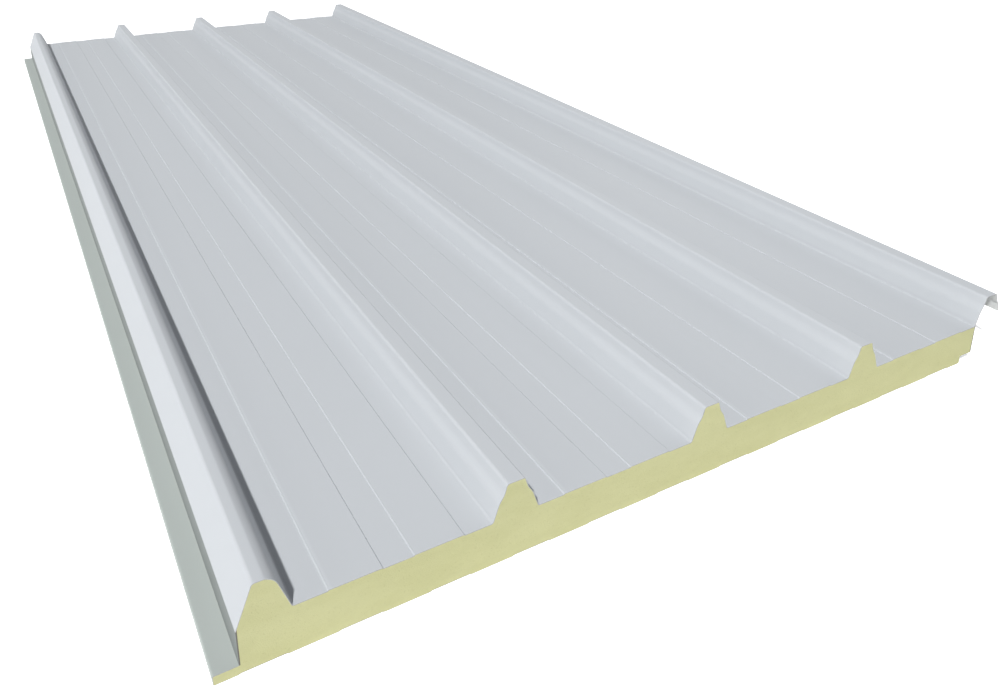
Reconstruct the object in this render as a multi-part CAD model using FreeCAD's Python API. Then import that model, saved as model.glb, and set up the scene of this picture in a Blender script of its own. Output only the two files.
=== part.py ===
"""Insulated roof sandwich panel: profiled steel weather sheet, rigid foam core and micro-ribbed steel liner.

Millimetres, +Z up. The origin is on the underside of the liner, below the middle rib, at mid length.
+X runs across the panel from the foam-filled underlap rib to the empty overlap rib; the ribs run along Y.
"""
import FreeCAD, Part
import math
import os

# Overall sizes
COVER_WIDTH = 1000.0        # centre of the underlap rib to centre of the overlap rib
LENGTH = 2500.0
CORE_DEPTH = 50.0           # underside of the liner to the top of the low pan
RIB_COUNT = 5               # the first is the underlap rib, the last the overlap rib

# Sheet and tape thicknesses
WEATHER_SHEET = 0.5
LINER_SHEET = 0.4
SIDE_TAPE = 0.3

# Trapezoidal rib, outside of the sheet: half widths, and heights above the low pan
RIB_HEIGHT = 39.5
CREST_HALF = 10.0           # flat crest
SHOULDER_TOP_HALF = 13.5    # a small shoulder breaks each flank in two
SHOULDER_TOP = 28.0
SHOULDER_FOOT_HALF = 19.0
SHOULDER_FOOT = 20.0
FOOT_HALF = 26.0
CREST_BEND_LEFT = 4.0       # bend radii on the outside of the sheet
CREST_BEND_RIGHT = 2.0
SHOULDER_BEND = 20.0
FOOT_BEND = 3.0

# Underlap rib: one straight outer flank, a chamfered crest and a plain inner flank
UNDERLAP_CREST_LEFT = 7.8
UNDERLAP_CREST_RIGHT = 3.5
CHAMFER_WIDTH = 8.7
CHAMFER_DROP = 4.3
CHAMFER_TOP_BEND = 7.0
CHAMFER_FOOT_BEND = 15.0
UNDERLAP_FOOT = 24.8
FLANK_BELOW_PAN = 3.5       # the outer flank runs this far below the low pan, down to the side wall
WALL_OFFSET = 25.0          # rib centre to the side wall, outside of its tape

# Overlap rib: stands over the neighbour's underlap rib and stops part way down its outer flank
LAP_CLEARANCE = 0.1         # between the two nested sheets
LAP_SPREAD = 0.5            # half width gained over the other ribs
LAP_SHOULDER_TOP = 27.5     # crease in the outer flank, above the low pan
LAP_SHOULDER_FOOT = 22.5
LAP_SHOULDER_OUT = 1.5      # how far the crease stands out from the neighbour's flank
LAP_SHOULDER_BEND = 2.0
FREE_EDGE_HEIGHT = 11.0     # free edge above the low pan

# Shallow stiffening bands in each pan
BAND_WIDTH = 53.5
BAND_GAP = 30.0             # between the two bands of a pan
BAND_HEIGHT = 0.9
BAND_STEP = 1.1             # width of the slope up to a band

# Liner micro-ribs
MICRO_COUNT = 11            # per cover width
MICRO_DEPTH = 1.0
MICRO_STEP = 3.0
MICRO_SHIFT = -4.0          # first groove's centre from the underlap rib's centre
LINER_BEND = 1.2

# Tongue under the underlap side and the rebate that takes the neighbour's tongue
TONGUE_WIDTH = 22.5
TONGUE_DEPTH = 10.0
JOINT_CLEARANCE = 0.5

# Derived places; u is measured across the panel from the underlap rib's centre
PITCH = COVER_WIDTH / (RIB_COUNT - 1)
PAN = CORE_DEPTH
LEFT_WALL = -WALL_OFFSET
RIGHT_WALL = COVER_WIDTH - WALL_OFFSET - JOINT_CLEARANCE
TONGUE_EDGE = LEFT_WALL - TONGUE_WIDTH
REBATE_EDGE = RIGHT_WALL - TONGUE_WIDTH
REBATE_TOP = TONGUE_DEPTH + JOINT_CLEARANCE
LAP_RISE = WEATHER_SHEET + LAP_CLEARANCE
CHAMFER_FOOT = UNDERLAP_CREST_RIGHT + CHAMFER_WIDTH
CHAMFER_LOW = RIB_HEIGHT - CHAMFER_DROP


def at(u, z):
    """A point of the cross-section, which lies in the plane of the near end."""
    return FreeCAD.Vector(u - COVER_WIDTH / 2, -LENGTH / 2, z)


def rounded_wire(corners):
    """An open wire through corners of (u, z, radius), with a tangent arc at each radius that isn't 0."""
    points = [at(u, z) for u, z, radius in corners]
    edges = []
    start = points[0]
    for before, corner, after, (u, z, radius) in zip(points, points[1:], points[2:], corners[1:]):
        back = (before - corner).normalize()
        ahead = (after - corner).normalize()
        half_angle = back.getAngle(ahead) / 2
        if radius == 0:
            edges.append(Part.LineSegment(start, corner).toShape())
            start = corner
            continue
        reach = radius / math.tan(half_angle)
        middle = (back + ahead).normalize() * (radius / math.sin(half_angle) - radius)
        entry, leave = corner + back * reach, corner + ahead * reach
        edges.append(Part.LineSegment(start, entry).toShape())
        edges.append(Part.Arc(entry, corner + middle, leave).toShape())
        start = leave
    edges.append(Part.LineSegment(start, points[-1]).toShape())
    return Part.Wire(edges)


def rib(u, rise=0.0, spread=0.0):
    """Corners of a whole rib with shouldered flanks, from foot to foot."""
    flank = [(FOOT_HALF, 0.0, FOOT_BEND),
             (SHOULDER_FOOT_HALF, SHOULDER_FOOT + rise, SHOULDER_BEND),
             (SHOULDER_TOP_HALF, SHOULDER_TOP + rise, SHOULDER_BEND)]
    crest = PAN + RIB_HEIGHT + rise
    return ([(u - half - spread, PAN + height, bend) for half, height, bend in flank]
            + [(u - CREST_HALF - spread, crest, CREST_BEND_LEFT), (u + CREST_HALF + spread, crest, CREST_BEND_RIGHT)]
            + [(u + half + spread, PAN + height, bend) for half, height, bend in reversed(flank)])


def underlap_rib():
    """Corners of the first rib, which the neighbour's overlap rib covers; starts at the side wall."""
    return [(LEFT_WALL, PAN - FLANK_BELOW_PAN, 0.0),
            (-UNDERLAP_CREST_LEFT, PAN + RIB_HEIGHT, CREST_BEND_LEFT),
            (UNDERLAP_CREST_RIGHT, PAN + RIB_HEIGHT, CHAMFER_TOP_BEND),
            (CHAMFER_FOOT, PAN + CHAMFER_LOW, CHAMFER_FOOT_BEND),
            (UNDERLAP_FOOT, PAN, FOOT_BEND)]


def lap_flank(height, out=0.0):
    """Where a sheet nested over the underlap rib's inner flank has its outside, at a height above the pan."""
    run = UNDERLAP_FOOT - CHAMFER_FOOT
    flank = UNDERLAP_FOOT - run * height / CHAMFER_LOW
    return COVER_WIDTH + flank + LAP_RISE * math.hypot(run, CHAMFER_LOW) / CHAMFER_LOW + out


def overlap_rib():
    """Corners of the last rib, an empty shell whose outer flank stops at a free edge."""
    to_crest = rib(COVER_WIDTH, LAP_RISE, LAP_SPREAD)[:5]
    return to_crest + [
        (lap_flank(LAP_SHOULDER_TOP), PAN + LAP_SHOULDER_TOP, LAP_SHOULDER_BEND),
        (lap_flank(LAP_SHOULDER_FOOT, LAP_SHOULDER_OUT), PAN + LAP_SHOULDER_FOOT, LAP_SHOULDER_BEND),
        (lap_flank(FREE_EDGE_HEIGHT), PAN + FREE_EDGE_HEIGHT, 0.0)]


def flat_step(left, right, low, high, slope):
    """Corners of a shallow band between left and right, whose level changes from low to high and back."""
    return [(left, low, 0.0), (left + slope, high, 0.0), (right - slope, high, 0.0), (right, low, 0.0)]


def pan_bands(bay):
    """Corners of the two stiffening bands of one pan."""
    middle = (bay + 0.5) * PITCH
    corners = []
    for left in (middle - BAND_GAP / 2 - BAND_WIDTH, middle + BAND_GAP / 2):
        corners += flat_step(left, left + BAND_WIDTH, PAN, PAN + BAND_HEIGHT, BAND_STEP)
    return corners


def weather_path():
    """The outside of the weather sheet, from the side wall to the overlap rib's free edge."""
    corners = underlap_rib()
    for bay in range(RIB_COUNT - 1):
        corners += pan_bands(bay)
        last = bay == RIB_COUNT - 2
        corners += overlap_rib() if last else rib((bay + 1) * PITCH)
    return rounded_wire(corners)


def liner_path():
    """The outside of the liner: over and round the tongue, along the micro-ribs, up into the rebate."""
    corners = [(LEFT_WALL + SIDE_TAPE, TONGUE_DEPTH, 0.0),
               (TONGUE_EDGE, TONGUE_DEPTH, LINER_BEND),
               (TONGUE_EDGE, 0.0, LINER_BEND)]
    micro_pitch = COVER_WIDTH / MICRO_COUNT
    for groove in range(MICRO_COUNT):
        left = MICRO_SHIFT + (groove - 0.25) * micro_pitch
        corners += flat_step(left, left + micro_pitch / 2, 0.0, MICRO_DEPTH, MICRO_STEP)
    corners += [(REBATE_EDGE, 0.0, LINER_BEND),
                (REBATE_EDGE, REBATE_TOP, LINER_BEND),
                (RIGHT_WALL, REBATE_TOP, 0.0)]
    return rounded_wire(corners)


def region(path, level):
    """The area between an open path and a straight line at a level clear of it."""
    first, last = path.OrderedVertexes[0].Point, path.OrderedVertexes[-1].Point
    corners = [last, FreeCAD.Vector(last.x, last.y, level), FreeCAD.Vector(first.x, first.y, level), first]
    return Part.Face(Part.Wire(path.OrderedEdges + Part.makePolygon(corners).Edges))


def outline(corners):
    """A flat area with straight sides."""
    return Part.Face(Part.makePolygon([at(u, z) for u, z in corners + corners[:1]]))


def sheet(path, thickness):
    """The section of a sheet whose outside is the path; a negative thickness lies to the path's right."""
    return path.makeOffset2D(thickness, 2, True, True)


def side_tapes():
    """Sections of the facings on the core's two side walls, still running up past the weather sheet."""
    top = PAN + RIB_HEIGHT
    left = outline([(LEFT_WALL, TONGUE_DEPTH), (LEFT_WALL + SIDE_TAPE, TONGUE_DEPTH),
                    (LEFT_WALL + SIDE_TAPE, top), (LEFT_WALL, top)])
    foot = REBATE_TOP + LINER_SHEET
    right = outline([(RIGHT_WALL - SIDE_TAPE, foot), (RIGHT_WALL, foot),
                     (RIGHT_WALL, top), (RIGHT_WALL - SIDE_TAPE, top)])
    return left, right


def core_walls():
    """The core's two side walls, with the tongue and the rebate, still full at top and bottom."""
    top = PAN + RIB_HEIGHT
    inner_left = LEFT_WALL + SIDE_TAPE
    inner_right = RIGHT_WALL - SIDE_TAPE
    tongue_top = TONGUE_DEPTH - LINER_SHEET
    rebate_top = REBATE_TOP + LINER_SHEET
    return outline([(inner_left, top), (inner_right, top), (inner_right, rebate_top),
                    (REBATE_EDGE, rebate_top), (REBATE_EDGE, 0.0), (TONGUE_EDGE, 0.0),
                    (TONGUE_EDGE, tongue_top), (inner_left, tongue_top)])


def build():
    """Extrudes each section over the panel's length and writes one file per piece."""
    weather, liner = weather_path(), liner_path()
    weather_sheet = sheet(weather, -WEATHER_SHEET)
    liner_sheet = sheet(liner, LINER_SHEET)
    from_weather_up = region(weather, PAN + 2 * RIB_HEIGHT).fuse(weather_sheet)
    above_liner = region(liner, PAN + 2 * RIB_HEIGHT).cut(liner_sheet)
    tape_left, tape_right = side_tapes()
    sections = {
        "outer_sheet": weather_sheet,
        "foam_core": core_walls().cut(from_weather_up).common(above_liner),
        "inner_sheet": liner_sheet,
        "side_tape_left": tape_left.cut(from_weather_up),
        "side_tape_right": tape_right.cut(from_weather_up),
    }
    os.makedirs("parts", exist_ok=True)
    for name, section in sections.items():
        solid = section.extrude(FreeCAD.Vector(0, LENGTH, 0)).Solids[0]
        solid.exportStep("parts/" + name + ".step")
        print(name, len(section.Faces), solid.isValid(), round(solid.Volume), solid.BoundBox)


build()
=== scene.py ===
"""Finishes and studio for an insulated roof panel: ribbed weather sheet, foam core and micro-ribbed liner.

The panel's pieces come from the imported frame, in metres, and each gets its own coating, facing or foam.
"""
import math

import bmesh
import bpy
from mathutils import Euler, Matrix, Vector


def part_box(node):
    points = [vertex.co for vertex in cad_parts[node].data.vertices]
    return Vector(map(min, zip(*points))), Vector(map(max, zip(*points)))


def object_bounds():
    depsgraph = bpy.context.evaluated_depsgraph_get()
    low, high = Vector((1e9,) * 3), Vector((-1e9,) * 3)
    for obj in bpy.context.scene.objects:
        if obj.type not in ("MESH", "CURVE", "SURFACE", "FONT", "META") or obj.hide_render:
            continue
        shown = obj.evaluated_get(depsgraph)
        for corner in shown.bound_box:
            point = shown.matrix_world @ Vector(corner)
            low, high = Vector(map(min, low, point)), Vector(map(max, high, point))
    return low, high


bl_info = {
    "name": "Insulated Roof Panel",
    "version": (1, 0, 0),
    "blender": (4, 5, 0),
    "location": "3D View > Sidebar > Roof Panel",
    "description": "Finishes and studio for a ribbed steel and foam roof panel",
    "category": "Object",
}

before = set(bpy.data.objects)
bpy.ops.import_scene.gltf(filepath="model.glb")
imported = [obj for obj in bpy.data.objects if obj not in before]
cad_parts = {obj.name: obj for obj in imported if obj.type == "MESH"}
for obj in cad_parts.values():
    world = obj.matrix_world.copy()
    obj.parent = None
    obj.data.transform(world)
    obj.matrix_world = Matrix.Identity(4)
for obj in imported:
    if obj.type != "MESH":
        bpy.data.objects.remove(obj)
CAD_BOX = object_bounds()
LOW, HIGH = CAD_BOX
HALF_LENGTH = HIGH.y
WALL_LEFT, WALL_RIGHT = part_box("side_tape_left")[1].x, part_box("side_tape_right")[0].x
TONGUE_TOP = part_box("side_tape_left")[0].z
RIB_PITCH = 0.25
FOOT_SHADE_STRIP = (0.0240, 0.0258, 0.0264, 0.0284)  # from a rib's middle: the painted shade along the rib's foot starts, is full, thins, ends
BAND_EDGE = 0.0583  # from a rib's middle to the edge of the first rolled band
BAND_HIGHLIGHT_FADE = (0.0012, 0.0042)  # from that edge: where the painted highlight starts to fade, and where it ends
LAMPS = {  # place and diameter in metres; the strengths are studio settings
    "key": (Vector((-9.1, -9.4, 14.9)), 1.0),
    "side": (Vector((-9.5, -1.0, 2.9)), 7.0),
    "fill": (Vector((7.0, 6.0, 4.2)), 4.0),
}
GLOW_REACH = (2.0, 9.0)  # from the origin: where the floor's own glow starts to grow, and where it is full
WHITE = (1.0, 1.0, 1.0)


# ---------------------------------------------------------------- shader building

class Link:
    """A socket of a node tree under construction; arithmetic on it adds Math nodes."""

    def __init__(self, shading, socket):
        self.shading = shading
        self.socket = socket

    def math(self, operation, *values):
        """One Math node whose inputs are values in order."""
        return self.shading.node("Math", {"operation": operation}, dict(enumerate(values)))["Value"]

    def __add__(self, other):
        return self.math("ADD", self, other)

    def __sub__(self, other):
        return self.math("SUBTRACT", self, other)

    def __rsub__(self, other):
        return self.math("SUBTRACT", other, self)

    def __mul__(self, other):
        return self.math("MULTIPLY", self, other)

    def __abs__(self):
        return self.math("ABSOLUTE", self)

    def __gt__(self, other):
        return self.math("GREATER_THAN", self, other)

    def __lt__(self, other):
        return self.math("LESS_THAN", self, other)

    __radd__ = __add__
    __rmul__ = __mul__


class Node:
    """A shader node whose outputs are read by name."""

    def __init__(self, shading, node):
        self.shading = shading
        self.node = node

    def __getitem__(self, name):
        return Link(self.shading, pick(self.node.outputs, name))


def pick(sockets, key):
    """The socket at an index, or the enabled one of a name."""
    if isinstance(key, int):
        return sockets[key]
    return next(socket for socket in sockets if socket.enabled and socket.name == key)


class Shading:
    """A node tree under construction."""

    def __init__(self, tree):
        self.tree = tree

    def node(self, kind, settings=None, values=None):
        """Adds a node, applies its settings, then fills its sockets with numbers or links."""
        node = self.tree.nodes.new("ShaderNode" + kind)
        for name, setting in (settings or {}).items():
            setattr(node, name, setting)
        for key, value in (values or {}).items():
            self.fill(pick(node.inputs, key), value)
        return Node(self, node)

    def fill(self, socket, value):
        if isinstance(value, Link):
            self.tree.links.new(value.socket, socket)
        elif isinstance(value, (tuple, list)) and len(value) == 3 and socket.type == "RGBA":
            socket.default_value = (*value, 1.0)
        else:
            socket.default_value = value

    def mix(self, mask, first, second):
        """A colour that goes from first to second as the mask goes from 0 to 1."""
        values = {"Factor": mask, "A": first, "B": second}
        return self.node("Mix", {"data_type": "RGBA", "clamp_factor": True}, values)["Result"]

    def looked_at(self):
        """1 for what is seen, also in a mirror or through glass, and 0 for light thrown on the panel."""
        rays = self.node("LightPath")
        seen = rays["Is Camera Ray"] + rays["Is Glossy Ray"] + rays["Is Transmission Ray"]
        return seen.math("MINIMUM", seen, 1.0)


class Finish(Shading):
    """A material built around one Principled shader."""

    def __init__(self, name, **constants):
        self.material = bpy.data.materials.new(name)
        self.material.use_nodes = True
        super().__init__(self.material.node_tree)
        self.surface = self.tree.nodes["Principled BSDF"]
        self.place = self.node("TexCoord")["Object"]
        for socket, value in constants.items():
            self.set(socket.replace("_", " "), value)

    def set(self, socket, value):
        """Sets one socket of the Principled shader."""
        self.fill(self.surface.inputs[socket], value)

    def axis(self, name, vector=None):
        """One coordinate of the shaded point in metres, or of another vector."""
        return self.node("SeparateXYZ", {}, {"Vector": vector or self.place})[name]

    def stretched(self, scale):
        """The coordinates multiplied by a scale for each axis."""
        return self.node("Mapping", {}, {"Vector": self.place, "Scale": scale})["Vector"]

    def noise(self, scale, detail=2.0, roughness=0.5, vector=None):
        """Fractal noise from 0 to 1, about 0.5."""
        values = {"Vector": vector or self.place, "Scale": scale, "Detail": detail, "Roughness": roughness}
        return self.node("TexNoise", {}, values)["Fac"]

    def cells(self, scale):
        """Distance to the nearest cell point, in cell widths."""
        return self.node("TexVoronoi", {}, {"Vector": self.place, "Scale": scale})["Distance"]

    def shade(self, colour, amount):
        """A colour multiplied by a number."""
        grey = self.node("CombineXYZ", {}, {"X": amount, "Y": amount, "Z": amount})["Vector"]
        return self.node("VectorMath", {"operation": "MULTIPLY"}, {0: colour, 1: grey})["Vector"]

    def smooth(self, value, low, high):
        """A mask that rises smoothly from 0 at low to 1 at high."""
        settings = {"interpolation_type": "SMOOTHSTEP"}
        return self.node("MapRange", settings, {"Value": value, "From Min": low, "From Max": high})["Result"]

    def strip(self, value, start, full, thinning, end):
        """A mask that is 1 from full to thinning and fades out to 0 at start and at end."""
        return self.smooth(value, start, full) * (1.0 - self.smooth(value, thinning, end))

    def relief(self, *layers):
        """Bump from (height, depth in metres) layers, which are added up."""
        total = sum((height * depth for height, depth in layers[1:]), layers[0][0] * layers[0][1])
        bump = self.node("Bump", {}, {"Height": total, "Distance": 1.0, "Strength": 1.0})
        self.set("Normal", bump["Normal"])


def coat(node, finish):
    """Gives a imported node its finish."""
    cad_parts[node].material_slots[0].material = finish.material


# ---------------------------------------------------------------- finishes

def coated_steel(name):
    """An empty finish with the sheen of a coil coating."""
    return Finish(name, IOR=1.4, Specular_IOR_Level=0.1)


def paint(finish, colour, settings, streak):
    """Satin paint with a faint orange peel, rolling streaks and a bare cut edge."""
    cut_edge = abs(finish.axis("Y")) > HALF_LENGTH - settings.edge_depth
    streaks = finish.noise(55.0, 3.0, vector=finish.stretched((1.0, 0.03, 1.0)))
    clouds = finish.noise(3.0, 3.0)
    tone = 1.0 + (streaks - 0.5) * streak + (clouds - 0.5) * 0.03
    steel = finish.shade(tuple(settings.cut_steel), 0.8 + finish.noise(900.0) * 0.4)
    finish.set("Base Color", finish.mix(cut_edge, finish.shade(colour, tone), steel))
    finish.set("Metallic", cut_edge * 0.85)
    finish.set("Roughness", settings.coat_roughness + (clouds - 0.5) * 0.12 + (streaks - 0.5) * 0.06)
    peel = finish.noise(450.0, 1.0)
    waves = finish.noise(4.0, 1.0, vector=finish.stretched((1.0, 0.5, 1.0)))
    finish.relief((peel, settings.peel_depth), (waves, settings.wave_depth))
    return finish


def weather_coat(settings):
    """The top coat, a paler back coat that is partly painted light, painted shade at the feet of the ribs
    and a painted highlight on a band edge.
    """
    finish = coated_steel("weather_coat")
    underside = finish.axis("Z", finish.node("NewGeometry")["Normal"]) < 0.0
    across = finish.axis("X")
    past_rib = across.math("WRAP", across, RIB_PITCH / 2, -RIB_PITCH / 2)
    # Painted shade: the coat is darkened along the concave foot of each rib, on both sides.
    foot_shade = finish.strip(abs(past_rib), *FOOT_SHADE_STRIP)
    # Painted highlight: the coat is paled along the edge of the first rolled band beside each rib, on the
    # step that faces the key lamp.
    band_highlight = 1.0 - finish.smooth(abs(past_rib - BAND_EDGE), *BAND_HIGHLIGHT_FADE)
    tone = 1.0 - foot_shade * settings.foot_shade + band_highlight * settings.band_highlight
    # The underside takes a paler back coat: partly a real back coat, partly painted light on the inside of
    # the overlap rib.
    colour = finish.mix(underside, tuple(settings.weather_colour), tuple(settings.back_coat_and_painted_light))
    return paint(finish, finish.shade(colour, tone), settings, 0.02)


def sawn_foam(settings):
    """Rigid foam: fine closed cells, faint flow marks and a dark glue line by the side facings."""
    finish = Finish("sawn_foam", IOR=1.4, Roughness=0.9)
    to_wall = (WALL_RIGHT - WALL_LEFT) / 2 - abs(finish.axis("X") - (WALL_LEFT + WALL_RIGHT) / 2)
    glue = (to_wall > 0.0) * (to_wall < settings.glue_line) * (finish.axis("Z") > TONGUE_TOP)
    flow = finish.noise(14.0, 4.0, 0.6, vector=finish.stretched((1.0, 1.0, 2.4)))
    mottle = finish.noise(120.0, 3.0)
    cells = finish.cells(1.0 / settings.cell_size)
    pits = finish.smooth(finish.noise(1.0 / (2.5 * settings.cell_size), 1.0), 0.62, 0.74)
    colour = finish.mix(finish.smooth(flow, 0.3, 0.7), tuple(settings.foam_pale), tuple(settings.foam_deep))
    tone = 1.0 + (mottle - 0.5) * 0.03 + (cells - 0.45) * 0.05 - pits * 0.03
    finish.set("Base Color", finish.mix(glue, finish.shade(colour, tone), tuple(settings.glue_colour)))
    depth = settings.cell_depth
    finish.relief((cells, -depth), (mottle, 2 * depth), (pits, -depth))
    return finish


def facing_tape(settings):
    """The facing on the side walls: matt, faintly fibrous, with soft creases along it."""
    finish = Finish("facing_tape", IOR=1.45)
    fibres = finish.noise(700.0, 2.0, vector=finish.stretched((1.0, 0.12, 1.0)))
    creases = finish.noise(30.0, 3.0, vector=finish.stretched((1.0, 0.15, 1.0)))
    tone = 1.0 + (fibres - 0.5) * 0.10 + (creases - 0.5) * 0.10
    finish.set("Base Color", finish.shade(tuple(settings.tape_colour), tone))
    finish.set("Roughness", 0.62 + (fibres - 0.5) * 0.15)
    finish.relief((fibres, settings.fibre_depth), (creases, settings.crease_depth))
    return finish


# ---------------------------------------------------------------- settings

def colour_setting(name, description, default):
    """A colour that a user can change."""
    return bpy.props.FloatVectorProperty(
        name=name, description=description, default=default, size=3, min=0.0, max=1.0, subtype="COLOR")


def length_setting(name, description, default):
    """A length in metres that a user can change."""
    return bpy.props.FloatProperty(
        name=name, description=description, default=default, min=0.0, precision=5, unit="LENGTH")


def factor_setting(name, description, default, high=1.0):
    """A plain number that a user can change."""
    return bpy.props.FloatProperty(name=name, description=description, default=default, min=0.0, max=high)


def angle_setting(name, description, degrees):
    """An angle that a user can change."""
    return bpy.props.FloatProperty(
        name=name, description=description, default=math.radians(degrees), unit="ROTATION")


class PanelFinishes(bpy.types.PropertyGroup):
    """Colours and surface grain of the panel's pieces."""

    weather_colour: colour_setting("Weather coat", "Paint of the weather sheet", (0.556, 0.578, 0.600))
    # A back coat, made paler as painted light on the inside of the overlap rib.
    back_coat_and_painted_light: colour_setting("Back coat", "Paint of the weather sheet's underside", (0.80, 0.81, 0.80))
    # Painted shade along the feet of the ribs.
    foot_shade: factor_setting("Foot shade", "Darkening along the feet of the ribs", 0.05)
    # Painted highlight along the edge of the first rolled band.
    band_highlight: factor_setting("Band highlight", "Paling along the lit edge of each rolled band", 0.045)
    liner_colour: colour_setting("Liner coat", "Paint of the liner and its returns", (0.43, 0.465, 0.445))
    tape_colour: colour_setting("Side facing", "Facing on the two side walls", (0.215, 0.235, 0.228))
    foam_pale: colour_setting("Foam, pale", "Paler streaks of the foam", (0.61, 0.605, 0.335))
    foam_deep: colour_setting("Foam, deep", "Deeper streaks of the foam", (0.575, 0.57, 0.305))
    glue_colour: colour_setting("Glue", "Glue line beside the side facings", (0.16, 0.155, 0.14))
    glue_line: length_setting("Glue line", "Width of the glue line", 0.0011)
    cut_steel: colour_setting("Cut steel", "Bare metal on the sheets' cut edges", (0.40, 0.40, 0.41))
    coat_roughness: factor_setting("Coat roughness", "Roughness of the paint", 0.5)
    peel_depth: length_setting("Orange peel", "Depth of the paint's fine texture", 0.000004)
    wave_depth: length_setting("Oil canning", "Depth of the sheet's long soft waves", 0.0004)
    edge_depth: length_setting("Cut edge", "How far bare metal reaches in from a cut end", 0.0003)
    cell_size: length_setting("Cell size", "Width of a foam cell", 0.0011)
    cell_depth: length_setting("Cell depth", "Depth of an opened cell on the sawn face", 0.00012)
    fibre_depth: length_setting("Fibres", "Depth of the side facing's fibres", 0.00003)
    crease_depth: length_setting("Creases", "Depth of the side facing's creases", 0.0006)


class PanelStudio(bpy.types.PropertyGroup):
    """Camera, lamps and floor."""

    lens: bpy.props.FloatProperty(
        name="Lens", description="Focal length", default=32.268, min=1.0, unit="CAMERA")
    heading: angle_setting("Heading", "Camera's turn from the panel's length towards +X", 29.173)
    dip: angle_setting("Dip", "Camera's tilt below the horizon", 18.712)
    shift_x: bpy.props.FloatProperty(name="Shift across", description="Sideways lens shift", default=0.01605)
    shift_y: bpy.props.FloatProperty(name="Shift up", description="Upward lens shift", default=-0.2085)
    camera_place: bpy.props.FloatVectorProperty(
        name="Camera place", description="Where the camera stands", default=(-0.6248, -1.8566, 0.6806),
        size=3, unit="LENGTH", subtype="XYZ")
    key: factor_setting("Key lamp", "Strength of the lamp at the front left", 2.98, 20.0)
    side: factor_setting("Side lamp", "Strength of the low lamp on the underlap side", 0.52, 20.0)
    fill: factor_setting("Fill lamp", "Strength of the weak lamp behind the overlap side", 0.38, 20.0)
    sky: colour_setting("Room light", "Even light from all round", (0.145, 0.153, 0.166))
    floor_glow: factor_setting("Floor glow", "Whiteness added to the floor where it is looked at", 0.55, 5.0)
    floor_size: length_setting("Floor", "Side of the square floor", 40.0)
    floor_gap: length_setting("Floor gap", "How far the floor lies below the liner", 0.0002)


# ---------------------------------------------------------------- operators

class ROOFPANEL_OT_weather_sheet(bpy.types.Operator):
    """Paint the ribbed weather sheet"""

    bl_idname = "roofpanel.weather_sheet"
    bl_label = "Weather sheet"

    def execute(self, context):
        settings = context.scene.panel_finishes
        coat("outer_sheet", weather_coat(settings))
        return {"FINISHED"}


class ROOFPANEL_OT_liner(bpy.types.Operator):
    """Paint the micro-ribbed liner, its tongue wrap and its rebate return"""

    bl_idname = "roofpanel.liner"
    bl_label = "Liner"

    def execute(self, context):
        settings = context.scene.panel_finishes
        liner = coated_steel("liner_coat")
        coat("inner_sheet", paint(liner, tuple(settings.liner_colour), settings, 0.03))
        return {"FINISHED"}


class ROOFPANEL_OT_foam_core(bpy.types.Operator):
    """Finish the foam core with its sawn ends"""

    bl_idname = "roofpanel.foam_core"
    bl_label = "Foam core"

    def execute(self, context):
        coat("foam_core", sawn_foam(context.scene.panel_finishes))
        return {"FINISHED"}


class ROOFPANEL_OT_side_tapes(bpy.types.Operator):
    """Finish the facings on the two side walls"""

    bl_idname = "roofpanel.side_tapes"
    bl_label = "Side facings"

    def execute(self, context):
        facing = facing_tape(context.scene.panel_finishes)
        for node in ("side_tape_left", "side_tape_right"):
            coat(node, facing)
        return {"FINISHED"}


class ROOFPANEL_OT_studio(bpy.types.Operator):
    """Lay the floor, hang the lamps and set up the camera"""

    bl_idname = "roofpanel.studio"
    bl_label = "Studio"

    def execute(self, context):
        studio = context.scene.panel_studio
        lay_floor(studio)
        hang_lamps(studio)
        light_room(context.scene, studio)
        place_camera(context.scene, studio)
        context.scene.view_settings.view_transform = "Standard"
        return {"FINISHED"}


OPERATORS = (
    ROOFPANEL_OT_weather_sheet,
    ROOFPANEL_OT_liner,
    ROOFPANEL_OT_foam_core,
    ROOFPANEL_OT_side_tapes,
    ROOFPANEL_OT_studio,
)


class ROOFPANEL_PT_sidebar(bpy.types.Panel):
    """Lists the panel's settings and the steps that use them"""

    bl_idname = "ROOFPANEL_PT_sidebar"
    bl_label = "Roof Panel"
    bl_space_type = "VIEW_3D"
    bl_region_type = "UI"
    bl_category = "Roof Panel"

    def draw(self, context):
        for group in (context.scene.panel_finishes, context.scene.panel_studio):
            box = self.layout.box()
            for name in group.__annotations__:
                box.prop(group, name)
        for operator in OPERATORS:
            self.layout.operator(operator.bl_idname)


# ---------------------------------------------------------------- studio

def lay_floor(studio):
    """A white floor that keeps the panel's shadow, and glows far out so that no horizon shows."""
    mesh = bpy.data.meshes.new("floor")
    shape = bmesh.new()
    bmesh.ops.create_grid(shape, x_segments=1, y_segments=1, size=studio.floor_size / 2)
    bmesh.ops.translate(shape, verts=shape.verts, vec=(0.0, 0.0, LOW.z - studio.floor_gap))
    shape.to_mesh(mesh)
    shape.free()
    floor = bpy.data.objects.new("floor", mesh)
    bpy.context.scene.collection.objects.link(floor)
    paper = Finish("floor_paper", Base_Color=(0.93, 0.93, 0.93), Roughness=1.0, Specular_IOR_Level=0.0,
                   Emission_Strength=1.0)
    distance = paper.node("VectorMath", {"operation": "LENGTH"}, {"Vector": paper.place})["Value"]
    far_out = paper.smooth(distance, *GLOW_REACH)
    paper.set("Emission Color", paper.looked_at() * (studio.floor_glow + far_out))
    mesh.materials.append(paper.material)


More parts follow.
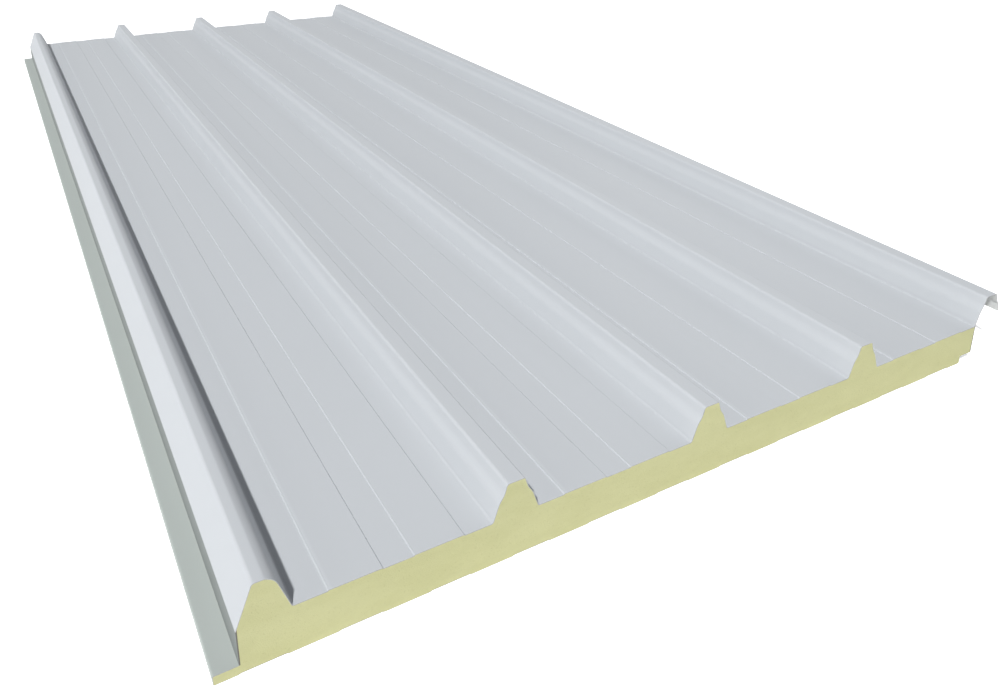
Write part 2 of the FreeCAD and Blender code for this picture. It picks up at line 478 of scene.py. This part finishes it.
def hang_lamp(name, strength, place, size):
    """A round lamp that faces the origin, and lights it as strongly as a sun of the same strength."""
    lamp = bpy.data.lights.new(name, "AREA")
    lamp.shape = "DISK"
    lamp.size = size
    lamp.energy = strength * math.pi * place.length_squared
    hung = bpy.data.objects.new(name, lamp)
    hung.location = place
    hung.rotation_euler = (-place).to_track_quat("-Z", "Y").to_euler()
    bpy.context.scene.collection.objects.link(hung)


def hang_lamps(studio):
    """A firm key from the front left, a soft low lamp on the underlap side and a weak fill from behind."""
    for name, (place, size) in LAMPS.items():
        hang_lamp(name + "_lamp", getattr(studio, name), place, size)


def light_room(scene, studio):
    """Even light from all round, seen as white by the camera and in reflections."""
    world = bpy.data.worlds.new("room")
    world.use_nodes = True
    scene.world = world
    room = Shading(world.node_tree)
    background = world.node_tree.nodes["Background"]
    room.fill(background.inputs["Color"], room.mix(room.looked_at(), tuple(studio.sky), WHITE))


def place_camera(scene, studio):
    """The camera, from the front left, looking along the ribs."""
    lens = bpy.data.cameras.new("camera")
    lens.lens = studio.lens
    lens.sensor_width = 36.0
    lens.shift_x, lens.shift_y = studio.shift_x, studio.shift_y
    lens.clip_start, lens.clip_end = 0.01, 100.0
    camera = bpy.data.objects.new("camera", lens)
    camera.location = studio.camera_place
    camera.rotation_euler = Euler((math.pi / 2 - studio.dip, 0.0, -studio.heading))
    scene.collection.objects.link(camera)
    scene.camera = camera


# ---------------------------------------------------------------- running

CLASSES = (PanelFinishes, PanelStudio, *OPERATORS, ROOFPANEL_PT_sidebar)


def register():
    for kind in CLASSES:
        bpy.utils.register_class(kind)
    bpy.types.Scene.panel_finishes = bpy.props.PointerProperty(type=PanelFinishes)
    bpy.types.Scene.panel_studio = bpy.props.PointerProperty(type=PanelStudio)


def unregister():
    del bpy.types.Scene.panel_studio
    del bpy.types.Scene.panel_finishes
    for kind in reversed(CLASSES):
        bpy.utils.unregister_class(kind)


def main():
    register()
    bpy.ops.roofpanel.weather_sheet()
    bpy.ops.roofpanel.liner()
    bpy.ops.roofpanel.foam_core()
    bpy.ops.roofpanel.side_tapes()
    bpy.ops.roofpanel.studio()


if __name__ == "__main__":
    main()
